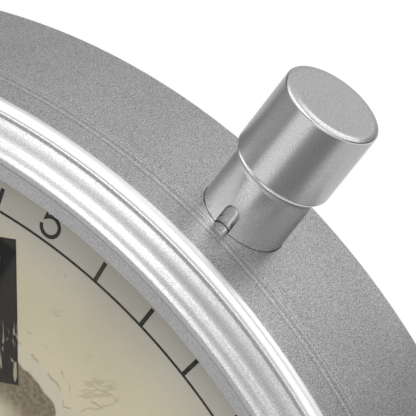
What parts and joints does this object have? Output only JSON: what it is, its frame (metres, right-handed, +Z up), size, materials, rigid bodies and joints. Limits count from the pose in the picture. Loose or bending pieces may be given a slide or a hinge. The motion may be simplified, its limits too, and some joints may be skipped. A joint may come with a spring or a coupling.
{
  "type": "wall clock",
  "caption": "Round wall clock with a turned aluminium case, stepped bezel, flat glass, printed dial, push button on the rim and a quartz movement.",
  "frame": {"origin": "on the clock's axis, in the plane of the wall that the back rim touches", "axes": "+Z up to 12 o'clock, +X to 3 o'clock, the dial faces -Y and the wall is on the +Y side"},
  "size_m": [0.3, 0.0504, 0.3],
  "materials": {
    "satin_aluminium": "sandblasted satin",
    "black_painted_steel": "satin black paint",
    "bright_steel": "bright",
    "brass": "satin",
    "enamelled_copper": "enamelled wire",
    "magnet": "sintered",
    "white_nylon": "moulded",
    "black_plastic": "moulded",
    "black_rubber": "matt",
    "grey_plastic": "moulded",
    "clear_glass": "polished",
    "aged_paper": "printed",
    "fibre_board": "pressed fibre",
    "circuit_board": "solder mask",
    "battery_wrap": "plain sleeve",
    "black_enamel": "black enamel"
  },
  "bodies": {
    "case": {"case_band": "satin_aluminium", "bezel_ring": "satin_aluminium", "lens_glass": "clear_glass", "lens_gasket": "black_rubber", "dial_spacer": "grey_plastic", "dial": "aged_paper", "dial_board": "fibre_board", "rear_cover": "black_painted_steel", "rear_cover_screw_1": "bright_steel", "rear_cover_screw_2": "bright_steel", "rear_cover_screw_3": "bright_steel", "rear_cover_screw_4": "bright_steel", "pusher_sleeve": "bright_steel", "pusher_guide_pin": "bright_steel", "pusher_spring": "bright_steel", "movement_front": "black_plastic", "movement_back": "black_plastic", "cushion_washer": "black_rubber", "clamp_washer": "brass", "clamp_nut": "brass", "circuit_board": "circuit_board", "quartz_crystal": "bright_steel", "coil_core": "bright_steel", "coil_winding": "enamelled_copper", "stator": "bright_steel", "battery_cell": "battery_wrap", "battery_contact_plus": "bright_steel", "battery_contact_minus": "bright_steel"},
    "button": {"pusher_button": "satin_aluminium", "pusher_clip": "bright_steel"},
    "minute_drive": {"centre_wheel": "brass", "minute_hand": "black_enamel"},
    "hour_drive": {"hour_wheel": "brass", "hour_hand": "black_enamel"},
    "seconds_drive": {"seconds_wheel": "white_nylon", "second_hand": "black_enamel"},
    "motion_drive": {"motion_wheel": "white_nylon"},
    "setting_drive": {"setting_wheel": "white_nylon"},
    "third_drive": {"third_wheel": "white_nylon"},
    "intermediate_drive": {"intermediate_wheel": "white_nylon"},
    "rotor_drive": {"rotor": "magnet"}
  },
  "joints": [
    {"name": "pusher_press", "type": "slide", "parent": "case", "child": "button", "axis": [-0.6613, 0, -0.7501], "range_m": [0, 0.004], "stiffness_N_per_m": 1500, "springref_m": -0.003, "deforming": ["pusher_spring"]},
    {"name": "minute_hand_turn", "type": "hinge", "parent": "case", "child": "minute_drive", "pos_m": [0, -0.028, 0], "axis": [0, 1, 0], "continuous": true},
    {"name": "hour_hand_turn", "type": "hinge", "parent": "case", "child": "hour_drive", "pos_m": [0, -0.0305, 0], "axis": [0, 1, 0], "continuous": true},
    {"name": "second_hand_turn", "type": "hinge", "parent": "case", "child": "seconds_drive", "pos_m": [0, -0.0255, 0], "axis": [0, 1, 0], "continuous": true},
    {"name": "motion_wheel_turn", "type": "hinge", "parent": "case", "child": "motion_drive", "pos_m": [-0.00752, -0.029, -0.00274], "axis": [0, 1, 0], "continuous": true},
    {"name": "setting_knob_turn", "type": "hinge", "parent": "case", "child": "setting_drive", "pos_m": [-0.01445, -0.029, 0.00126], "axis": [0, 1, 0], "continuous": true},
    {"name": "third_wheel_turn", "type": "hinge", "parent": "case", "child": "third_drive", "pos_m": [0.0078, -0.0265, 0.00138], "axis": [0, 1, 0], "continuous": true},
    {"name": "intermediate_wheel_turn", "type": "hinge", "parent": "case", "child": "intermediate_drive", "pos_m": [-0.00337, -0.024, 0.00723], "axis": [0, 1, 0], "continuous": true},
    {"name": "rotor_turn", "type": "hinge", "parent": "case", "child": "rotor_drive", "pos_m": [-0.00919, -0.0224, 0.01059], "axis": [0, 1, 0], "continuous": true}
  ],
  "couplings": [
    {"joint": "hour_hand_turn", "follows": "minute_hand_turn", "ratio": 0.083333},
    {"joint": "motion_wheel_turn", "follows": "minute_hand_turn", "ratio": -0.33333},
    {"joint": "setting_knob_turn", "follows": "minute_hand_turn", "ratio": 1},
    {"joint": "third_wheel_turn", "follows": "minute_hand_turn", "ratio": -8},
    {"joint": "second_hand_turn", "follows": "minute_hand_turn", "ratio": 60},
    {"joint": "intermediate_wheel_turn", "follows": "minute_hand_turn", "ratio": -360},
    {"joint": "rotor_turn", "follows": "minute_hand_turn", "ratio": 1800}
  ]
}
